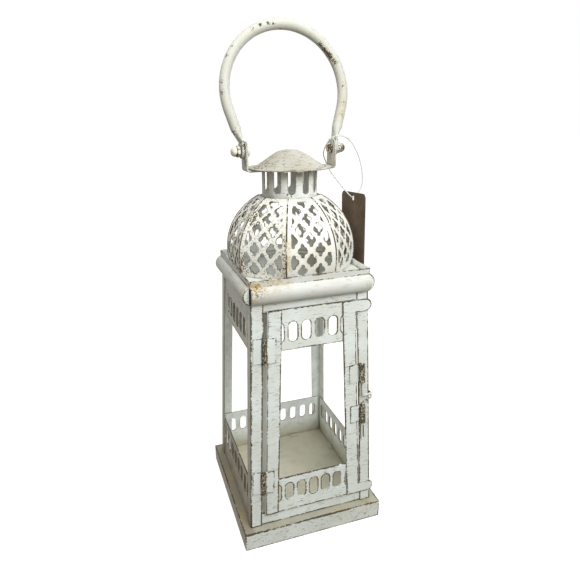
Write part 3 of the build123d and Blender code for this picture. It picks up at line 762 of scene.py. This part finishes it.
def place_piece(bm, name, material, body, nodes=(), lining=None):
    """Turns a bmesh into an object of the lantern, which rides on a body and stands for some nodes."""
    mesh = bpy.data.meshes.new(name)
    bm.to_mesh(mesh)
    bm.free()
    mesh.materials.append(material)
    if lining:
        mesh.materials.append(lining)
    mesh.shade_smooth()
    mesh.set_sharp_from_angle(angle=smooth_angle)
    piece = bpy.data.objects.new(name, mesh)
    scene.collection.objects.link(piece)
    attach(piece, body)
    if nodes:
        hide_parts(*nodes)


print("corners under", round(math.degrees(smooth_angle)), "degrees are shaded smooth")

# %% [markdown]
# ### Dark slot walls and wire flanks
# The walls of the gallery slots and the flanks of the latch wire are darkened as painted shade. A second
# material, or the crest attribute, says so face by face, which needs no mask.

# %% Slot walls and flanks
lower_slots, upper_slots = 43.1 * mm, 182.2 * mm
slot_row = {"lower_": lower_slots, "upper_": upper_slots}
row_half = 8.4 * mm


def shade_slot_walls(plate, node, row):
    """Gives the second material, the painted shade, to the walls of a gallery's slots."""
    for face in plate.faces:
        across_sheet = abs(face.normal.y if "back" in node else face.normal.x)
        in_row = abs(face.calc_center_median().z - row) < row_half
        face.material_index = 1 if in_row and across_sheet < 0.6 else 0


def shade_wire_flanks(plate):
    """Marks the sides of the latch wire as crests, so that they show the dark undercoat as painted shade, and
    leaves its front painted.
    """
    plate.normal_update()
    crest = plate.verts.layers.float["crest"]
    for vert in plate.verts:
        vert[crest] = 1.0 if abs(vert.normal.x) > 0.7 else 0.0


print("slot rows at", lower_slots / mm, "and", upper_slots / mm, "mm")

# %% [markdown]
# ### A finish for each node
# One table gives every node its paint, so that another finish is a change of one word. Thin pins and wires
# are eased less than sheet, or their roundness would be lost.

# %% Dress the plates
usual_ease = 0.22 * mm
edge_ease = {"hinge_pins": 0.15 * mm, "latch_wire": 0.1 * mm}
finish_of = {
    "plinth": plinth_paint, "roof_plate": cornice_paint,
    "vent_collar": collar_paint_with_painted_light, "chimney_cap": cap_paint,
}
for node in frame["nodes"]:
    if node.startswith("cornice_"):
        finish_of[node] = cornice_paint
    if node.startswith(("post_", "lower_", "upper_", "front_", "door_")):
        finish_of[node] = body_paint
finish_of |= {
    "handle_strap": handle_paint, "bail_handle": handle_paint, "latch_wire": wire_paint,
    "handle_bolts": bolt_paint, "handle_dome_nuts": bolt_paint, "hinge_pins": brass,
}
for node, material in finish_of.items():
    plate = eased_copy(node, edge_ease.get(node, usual_ease))
    row = slot_row.get(node[:6])
    if row:
        shade_slot_walls(plate, node, row)
    # The wire's flanks show the undercoat as a painted shade along its outline.
    if node == "latch_wire":
        shade_wire_flanks(plate)
    lining = slot_wall_shade_paint if row else None
    place_piece(plate, "dressed_" + node, material, body_of_node[node], [node], lining)
print("dressed", len(finish_of), "nodes")

# %% [markdown]
# ## Hinges and latch barrels
# A hinge's leaves were painted over with the door and the post, while its rolled barrel stayed bare. Each
# fitting is therefore parted at a small distance from the axis that it turns on: the barrel is brass, and
# the leaf has the paint.

# %% Part the barrels from the leaves
leaf_ease = 0.12 * mm
axis_of = {}
for joint in frame["joints"]:
    axis_of[joint["name"]] = (Vector(joint["pos_m"]), Vector(joint["axis"]).normalized())
barrels = (
    ("hinge_post_leaves", "door_hinge", 1.75 * mm),
    ("hinge_door_leaves", "door_hinge", 1.75 * mm),
    ("latch_barrels", "latch_turn", 2.55 * mm),
)
for node, joint, reach in barrels:
    point, along = axis_of[joint]
    leaf = eased_copy(node, leaf_ease)
    barrel = leaf.copy()
    for part, keep_near in ((leaf, False), (barrel, True)):
        drop = []
        for face in part.faces:
            out = face.calc_center_median() - point
            near = (out - out.dot(along) * along).length < reach
            if near != keep_near:
                drop.append(face)
        bmesh.ops.delete(part, geom=drop, context="FACES")
    place_piece(leaf, "painted_" + node, fitting_paint, body_of_node[node], [node])
    place_piece(barrel, "bare_" + node, brass, body_of_node[node], [node])
print("barrels", len(barrels))

# %% [markdown]
# ## The lean of the walls
# The posts and galleries lean in towards the roof. Forms that are added to the walls need that angle, and it
# is measured on the frame's boxes, so that it follows the frame.

# %% The leaning walls of the body
roof_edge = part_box("roof_plate")[1].x
body_low, body_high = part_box("plinth")[1].z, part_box("cornice_front")[0].z
foot_edge = -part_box("post_front_left")[0].y
lean = math.atan2(foot_edge - roof_edge, body_high - body_low)
print("the walls lean by", round(math.degrees(lean), 2), "degrees")

# %% [markdown]
# ## Pressed rims of the slots
# The press that cut the slots turned their edges inwards, so each has a rim nearly a millimetre deep. Seen
# along a side, the rims close the slots to the eye and leave dark lines, as their inner walls carry painted
# shade. A rim is a circle drawn out to a slot, raised into a wall and thickened. An array of one rim would
# be lighter, but a rim has few faces.

# %% One rim
slot_width, slot_length = 6.9 * mm, 15.4 * mm
rim_depth, rim_wall = 0.8 * mm, 0.45 * mm
rim_sides = 24


def join_into(whole, part, place):
    """Sets a small bmesh in its place and adds it to a larger one."""
    bmesh.ops.transform(part, matrix=place, verts=part.verts)
    mesh = bpy.data.meshes.new("part")
    part.to_mesh(mesh)
    part.free()
    whole.from_mesh(mesh)
    bpy.data.meshes.remove(mesh)


def slot_rim():
    """A rim that lies flat and reaches down, with its inner wall in the second material, the painted shade."""
    bm = bmesh.new()
    half_side = Matrix.Rotation(math.pi / rim_sides, 4, "Z")
    bmesh.ops.create_circle(bm, segments=rim_sides, radius=slot_width / 2, matrix=half_side)
    straight = (slot_length - slot_width) / 2
    for vert in bm.verts:
        vert.co.y += math.copysign(straight, vert.co.y)
    wall = bmesh.ops.extrude_edge_only(bm, edges=bm.edges[:])
    raised = [item for item in wall["geom"] if isinstance(item, bmesh.types.BMVert)]
    bmesh.ops.translate(bm, verts=raised, vec=(0, 0, -rim_depth))
    bmesh.ops.recalc_face_normals(bm, faces=bm.faces)
    bmesh.ops.solidify(bm, geom=bm.faces[:], thickness=rim_wall)
    bmesh.ops.recalc_face_normals(bm, faces=bm.faces)
    for face in bm.faces:
        centre = face.calc_center_median()
        middle = Vector((0, min(max(centre.y, -straight), straight), centre.z))
        face.material_index = 1 if face.normal.dot(centre - middle) < 0 else 0
    return bm


print("a slot is", slot_width / mm, "by", slot_length / mm, "mm")

# %% [markdown]
# ### Rows of rims
# Nine rims stand in each lower gallery and six in each upper one, on three walls. One matrix sets a rim on
# its wall: it leans, is moved out to the strip, and is turned about the upright axis.

# %% Rows of rims
slot_pitch = 10.6 * mm
strip_back = 1.6 * mm
lower_count, upper_count = 9, 6


def add_rims(bm, height, count, quarter):
    """A row of rims on the wall that lies some quarter turns on from the front."""
    up = (height - body_low) / math.cos(lean)
    out = -foot_edge + up * math.sin(lean) + strip_back
    to_wall = Matrix.Rotation(quarter * math.pi / 2, 4, "Z")
    leaning = Matrix.Rotation(math.pi / 2 - lean, 4, "X")
    for index in range(count):
        across = (index - (count - 1) / 2) * slot_pitch
        join_into(bm, slot_rim(), to_wall @ Matrix.Translation((across, out, height)) @ leaning)


wall_rims = bmesh.new()
for quarter in (1, 2, 3):
    add_rims(wall_rims, lower_slots, lower_count, quarter)
    add_rims(wall_rims, upper_slots, upper_count, quarter)
# The outer faces of the rims look into the lantern and get the brighter inner white, a painted light.
inside_of = wall_rims.faces.layers.float.new("inside")
for face in wall_rims.faces:
    face[inside_of] = 0.0 if face.material_index else 1.0
print("rim faces", len(wall_rims.faces))
place_piece(wall_rims, "slot_rims_of_the_walls", body_paint, "lantern_body", lining=slot_wall_shade_paint)

# %% [markdown]
# ## The folded edge of the door
# The hinge-side stile is folded back along its edge, which stiffens the door and closes the gap beside the
# post to the eye. A new box would have to be fitted to the stile's lean, so the fold is made from the stile
# itself: a thin slice of its edge, with the back drawn inwards.

# %% Folded edge
fold_depth = 10.5 * mm
fold_sheet = 0.6 * mm
inwards = Vector((0, math.cos(lean), -math.sin(lean)))
fold = bmesh.new()
fold.from_mesh(frame["nodes"]["door_left_stile"].data)
bmesh.ops.remove_doubles(fold, verts=fold.verts, dist=same_point)
stile_low, stile_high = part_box("door_left_stile")
foot_corner = min((v.co.copy() for v in fold.verts if v.co.z < stile_low.z + mm), key=lambda co: co.x)
head_corner = min((v.co.copy() for v in fold.verts if v.co.z > stile_high.z - mm), key=lambda co: co.x)
rightwards = inwards.cross(head_corner - foot_corner).normalized()
slice_at = foot_corner + rightwards * fold_sheet
whole = [*fold.verts, *fold.edges, *fold.faces]
cut = bmesh.ops.bisect_plane(fold, geom=whole, plane_co=slice_at, plane_no=rightwards, clear_outer=True)
cut_edges = [item for item in cut["geom_cut"] if isinstance(item, bmesh.types.BMEdge)]
bmesh.ops.holes_fill(fold, edges=cut_edges, sides=0)
front_most = min(v.co.dot(inwards) for v in fold.verts)
for vert in fold.verts:
    if vert.co.dot(inwards) > front_most + fold_sheet / 2:
        vert.co += inwards * fold_depth
print("fold", len(fold.faces), "faces, rightwards", [round(c, 3) for c in rightwards])
place_piece(fold, "folded_edge_of_the_door", fold_paint_with_painted_light, "door")

# %% [markdown]
# ## The ends of the cornice
# Each cornice bead is a rolled strip, closed at its ends by a small plate. Its outline is an arc with the
# bead's own curve, so a plate is a disc of which a straight cut leaves a slice, with its rim marked as worn.

# %% Bead ends
bead_height = 13.2 * mm
bead_bottom = body_high
bead_projection = -roof_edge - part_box("cornice_front")[0].y
plate_set_in = 0.5 * mm
plate_rim = 0.7 * mm
plate_reach = bead_projection - plate_set_in
plate_radius = (bead_height**2 / 4 + plate_reach**2) / (2 * plate_reach)
chord = plate_radius - plate_reach
upright = Matrix(((0, 0, 1), (-1, 0, 0), (0, 1, 0))).to_4x4()


def mark_rim(bm, band):
    """Insets a band along every open edge, and marks the edge as a crest that fades across it."""
    bmesh.ops.inset_region(bm, faces=bm.faces[:], thickness=band, use_boundary=True, use_even_offset=True)
    crest = bm.verts.layers.float.new("crest")
    for vert in bm.verts:
        vert[crest] = 1.0 if vert.is_boundary else 0.0


def end_plate():
    """A slice of a disc, with its straight side along Y."""
    bm = bmesh.new()
    at_centre = Matrix.Translation((-chord, 0, 0))
    bmesh.ops.create_circle(bm, cap_ends=True, segments=96, radius=plate_radius, matrix=at_centre)
    whole = [*bm.verts, *bm.edges, *bm.faces]
    bmesh.ops.bisect_plane(bm, geom=whole, plane_co=(0, 0, 0), plane_no=(-1, 0, 0), clear_outer=True)
    mark_rim(bm, plate_rim)
    return bm


ends = bmesh.new()
for quarter in range(4):
    to_wall = Matrix.Rotation(quarter * math.pi / 2, 4, "Z")
    for end in (-1, 1):
        seat = (end * (roof_edge - plate_set_in), -roof_edge, bead_bottom + bead_height / 2)
        join_into(ends, end_plate(), to_wall @ Matrix.Translation(seat) @ upright)
print("bead ends", len(ends.faces))
place_piece(ends, "bead_end_plates", body_paint, "lantern_body")

# %% [markdown]
# ## The pierced dome
# Eight panels bend from the roof to the collar. Each is a sheet pierced with rows of quatrefoils, cut off
# by a plain border at the seams. Cutting the foils out of a bent sheet with booleans would be slow and
# leave ragged edges, so the sheet is drawn flat first, where straight cuts trim the foils at the border.
# Then it gets its thickness and is bent on the dome's arc.

# %% Dome arc
panel_low, panel_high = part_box("dome_panel_right")
dome_foot = panel_low.z
dome_crest_out = panel_high.x
dome_crest_up = 13.5 * mm
mouth_gap = 0.95 * mm
dome_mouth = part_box("vent_collar")[1].x + mouth_gap
dome_rise = panel_high.z - dome_foot - dome_crest_up
dome_inward = dome_crest_out - dome_mouth
bend = (dome_inward**2 + dome_rise**2) / (2 * dome_inward)
bend_centre = dome_crest_out - bend
foot_angle = -math.asin(dome_crest_up / bend)
arc_length = bend * (math.asin(dome_rise / bend) - foot_angle)
arc_steps = 30
half_turn = math.pi / 8
print("dome bend", round(bend / mm, 2), "mm, arc", round(arc_length / mm, 2), "mm")

# %% [markdown]
# ### One panel, drawn flat
# A foil has narrow lobes above and below and broad pointed ones at its sides. One quarter of it is listed
# and mirrored twice. The foils lie in staggered rows, as a punch would cut them.

# %% Foils
border = 3.6 * mm
foil_quarter = (
    (0.0, 5.1), (0.85, 4.9), (1.3, 4.3), (1.35, 3.3), (1.5, 2.8),
    (2.3, 2.3), (3.1, 1.7), (3.6, 0.95), (3.75, 0.0),
)


def seam_half(up):
    """Half the panel's width at a distance up its arc."""
    return (bend_centre + bend * math.cos(foot_angle + up / bend)) * math.tan(half_turn)


def draw_loop(bm, points):
    """A closed line through some points of the flat sheet."""
    verts = [bm.verts.new((across, up, 0.0)) for across, up in points]
    return verts, [bm.edges.new(pair) for pair in zip(verts, verts[1:] + verts[:1])]


def foil_outline(across, up):
    """A whole foil, from its quarter."""
    right = [*foil_quarter, *[(x, -y) for x, y in reversed(foil_quarter[:-1])]]
    left = [(-x, y) for x, y in reversed(right[1:-1])]
    return [(across + x * mm, up + y * mm) for x, y in right + left]


def cut_foil(bm, across, up):
    """One foil, trimmed by the border on every side."""
    verts, edges = draw_loop(bm, foil_outline(across, up))
    side = math.copysign(1.0, across)
    slope = (seam_half(up + mm) - seam_half(up - mm)) / (2 * mm)
    cuts = [
        ((side * (seam_half(up) - border), up, 0), (side, -slope, 0)),
        ((0, border, 0), (0, -1, 0)),
        ((0, arc_length - border, 0), (0, 1, 0)),
    ]
    region = [bm.faces.new(verts), *edges, *verts]
    for point, outward in cuts:
        outward = Vector(outward).normalized()
        cut = bmesh.ops.bisect_plane(
            bm, geom=region, dist=1e-8, plane_co=point, plane_no=outward, clear_outer=True
        )
        region = [item for item in cut["geom"] if item.is_valid]
    filled = [item for item in region if isinstance(item, bmesh.types.BMFace)]
    bmesh.ops.delete(bm, geom=filled, context="FACES_ONLY")


print("a foil has", len(foil_outline(0, 0)), "corners")

# %% [markdown]
# ### From a flat sheet to a bent panel
# The outline and the foils are filled in one go, and the sheet is then cut across at many levels, because a
# face can only bend at its edges. How far up a corner lies on the flat sheet gives its angle on the arc.

# %% One panel
panel_sheet = 0.8 * mm
panel_gap = 0.05 * mm
panel_band = 0.45 * mm
foil_pitch, row_step, first_row = 13.5 * mm, 7.43 * mm, 7.5 * mm
foil_rows = 8
furthest_out, furthest_up = 2.85 * mm, 4 * mm
levels = [arc_length * step / arc_steps for step in range(arc_steps + 1)]


def pierced_sheet():
    """The flat sheet with its foils, a worn band along every edge, and cuts across where it will bend."""
    bm = bmesh.new()
    right_side = [(seam_half(up) - panel_gap, up) for up in levels]
    draw_loop(bm, right_side + [(-across, up) for across, up in reversed(right_side)])
    for row in range(foil_rows):
        up = first_row + row * row_step
        for place in (-0.5, 0.5) if row % 2 == 0 else (-1, 0, 1):
            across = place * foil_pitch
            shows = abs(across) - furthest_out < seam_half(up) - border
            if shows and up - furthest_up < arc_length - border:
                cut_foil(bm, across, up)
    bmesh.ops.triangle_fill(bm, use_beauty=True, use_dissolve=False, edges=bm.edges[:], normal=(0, 0, 1))
    mark_rim(bm, panel_band)
    for up in levels[1:-1]:
        whole = [*bm.verts, *bm.edges, *bm.faces]
        bmesh.ops.bisect_plane(bm, geom=whole, dist=1e-7, plane_co=(0, up, 0), plane_no=(0, 1, 0))
    return bm


def bent_panel():
    """The panel that faces +X, with its thickness, bent on the arc."""
    bm = pierced_sheet()
    bmesh.ops.recalc_face_normals(bm, faces=bm.faces)
    if sum(face.normal.z for face in bm.faces) < 0:
        bmesh.ops.reverse_faces(bm, faces=bm.faces)
    bmesh.ops.solidify(bm, geom=bm.faces[:], thickness=panel_sheet)
    for vert in bm.verts:
        across, up, out = vert.co
        angle = foot_angle + up / bend
        height = dome_foot + dome_crest_up + (bend + out) * math.sin(angle)
        vert.co = (bend_centre + (bend + out) * math.cos(angle), across, height)
    bmesh.ops.recalc_face_normals(bm, faces=bm.faces)
    return bm


first_panel = bent_panel()
print("faces in a panel", len(first_panel.faces))

# %% [markdown]
# ### Eight panels round the dome
# All the panels are alike, so one is turned about the upright axis. They differ in their finish: the two at
# the left are dotted with stain, and the two at the back left are clean on their inner faces and paler there, a
# painted light.

# %% Set the panels round the dome
panel_sides = ("right", "back_right", "back", "back_left", "left", "front_left", "front", "front_right")
for index, side in enumerate(panel_sides):
    panel = first_panel.copy()
    to_side = Matrix.Rotation(2 * half_turn * index, 3, "Z")
    bmesh.ops.rotate(panel, verts=panel.verts, matrix=to_side)
    inside_of = panel.faces.layers.float.new("inside")
    # The inner faces of these two panels get the brighter inner white, a painted light.
    for face in panel.faces if side in ("back", "back_left") else ():
        centre = face.calc_center_median()
        face[inside_of] = 1.0 if face.normal.dot(Vector((centre.x, centre.y, 0))) < 0 else 0.0
    name = "dome_panel_" + side
    finish = dotted_dome_paint if side in ("left", "front_left") else dome_paint
    place_piece(panel, "pierced_" + name, finish, body_of_node[name], [name])
first_panel.free()
print("panels", len(panel_sides))

# %% [markdown]
# ## Beads on the dome's seams
# Two panels meet in a soldered seam, which stands a little proud and is rubbed brown along its back. It
# follows the same arc as the panels, so it is a curve with a round section that is then made a mesh.

# %% Seam beads
seam_radius = 0.55 * mm
seam_sunk = 0.25 * mm
seam_curve = bpy.data.curves.new("seams", "CURVE")
seam_curve.dimensions = "3D"
seam_curve.bevel_depth = seam_radius
seam_curve.bevel_resolution = 2
for index in range(len(panel_sides)):
    turn = half_turn * (2 * index + 1)
    seam = seam_curve.splines.new("POLY")
    seam.points.add(arc_steps)
    for up, point in zip(levels, seam.points):
        angle = foot_angle + up / bend
        radius = (bend_centre + bend * math.cos(angle)) / math.cos(half_turn) - seam_sunk
        height = dome_foot + dome_crest_up + bend * math.sin(angle)
        point.co = (radius * math.cos(turn), radius * math.sin(turn), height, 1.0)
seam_lines = bpy.data.objects.new("seams", seam_curve)
scene.collection.objects.link(seam_lines)
depsgraph = bpy.context.evaluated_depsgraph_get()
seam_mesh = bpy.data.meshes.new_from_object(seam_lines.evaluated_get(depsgraph))
bpy.data.objects.remove(seam_lines)
seams = bmesh.new()
seams.from_mesh(seam_mesh)
crest = seams.verts.layers.float.new("crest")
for vert in seams.verts:
    vert[crest] = 0.9
print("faces of the seam beads", len(seams.faces))
place_piece(seams, "dome_seam_beads", seam_paint, "lantern_body")

# %% [markdown]
# ## Stage
# The photograph is a cut-out on white. A white floor lit by lamps would glare into the lantern, so the floor
# is a dull beige to the light, and glows white only to the camera and in reflections.

# %% Floor
floor_mesh = bpy.data.meshes.new("floor")
floor_plate = bmesh.new()
bmesh.ops.create_grid(floor_plate, x_segments=1, y_segments=1, size=6.0)
floor_plate.to_mesh(floor_mesh)
floor_plate.free()
floor = bpy.data.objects.new("floor", floor_mesh)
scene.collection.objects.link(floor)
floor_paint, add, place = start_material("white_floor")
rays = add("LightPath").outputs
seen = add("Math", (rays["Is Camera Ray"], rays["Is Glossy Ray"]), operation="MAXIMUM")
glow = add("Math", (seen, 0.92), operation="MULTIPLY")
end_material(add, {
    "Base Color": srgb("#8a8377"), "Roughness": 0.9,
    "Emission Color": srgb("#ffffff"), "Emission Strength": glow,
})
floor_mesh.materials.append(floor_paint)
print("floor", floor.dimensions.x, "m wide")

# %% [markdown]
# ## Light
# The room is bright overhead and to the right, dimmer towards the left and warmer low down. A world that has
# a colour for each direction gives this without a ring of lamps, and is plain white to the camera.

# %% World
world = bpy.data.worlds.new("studio")
world.use_nodes = True
scene.world = world
world.node_tree.nodes.clear()
add = partial(add_node, world.node_tree)
rays = add("LightPath").outputs
seen = add("Math", (rays["Is Camera Ray"], rays["Is Glossy Ray"]), operation="MAXIMUM")
x_way, _, z_way = add("SeparateXYZ", (add("TexCoord").outputs["Generated"],)).outputs
above = add("MapRange", {"Value": z_way, "From Min": -0.1, "To Min": 0.30, "To Max": 0.80})
rightward = add("MapRange", {"Value": x_way, "From Min": -0.7, "From Max": 0.3, "To Min": 0.8})
sky = add("Math", (above, rightward), operation="MULTIPLY")
warmth = add("MapRange", {"Value": z_way, "From Min": 0.6, "From Max": 0.0})
hue = add("Mix", {0: warmth, 6: (0.97, 1.0, 1.0, 1), 7: (1.0, 0.93, 0.82, 1)}, data_type="RGBA")
hue = add("Mix", {0: seen, 6: hue, 7: srgb("#ffffff")}, data_type="RGBA")
strength = add("Mix", {0: seen, 2: sky, 3: 1.0})
backdrop = add("Background", {"Strength": strength, "Color": hue})
add("OutputWorld", {"Surface": backdrop})
print("world nodes", len(world.node_tree.nodes))

# %% [markdown]
# ### Lamps
# One broad lamp in front makes the door bright and leaves the left faces grey. A small one lights the dome
# from above, and one behind fills the back. They are discs, since a point would draw hard shadows.


# %% Lamps
def soft_lamp(name, place, target, size, power, colour):
    """A round area lamp that shines from a place at a target."""
    data = bpy.data.lights.new(name, "AREA")
    data.shape = "DISK"
    data.size = size
    data.energy = power
    data.color = colour
    lamp = bpy.data.objects.new(name, data)
    lamp.location = place
    lamp.rotation_euler = (Vector(target) - Vector(place)).to_track_quat("-Z", "Y").to_euler()
    scene.collection.objects.link(lamp)


soft_lamp("key", (0.11, -0.42, 0.555), (0, 0, 0.18), 0.33, 2.55, (0.95, 0.98, 1.0))
soft_lamp("top_left", (-0.13, -0.12, 0.70), (0, 0, 0.26), 0.2, 0.85, (1.0, 0.98, 0.94))
soft_lamp("back_fill", (0.5, 0.8, 0.6), (0, 0, 0.2), 0.6, 2.0, (1.0, 1.0, 1.0))
print("lamps", len(bpy.data.lights))
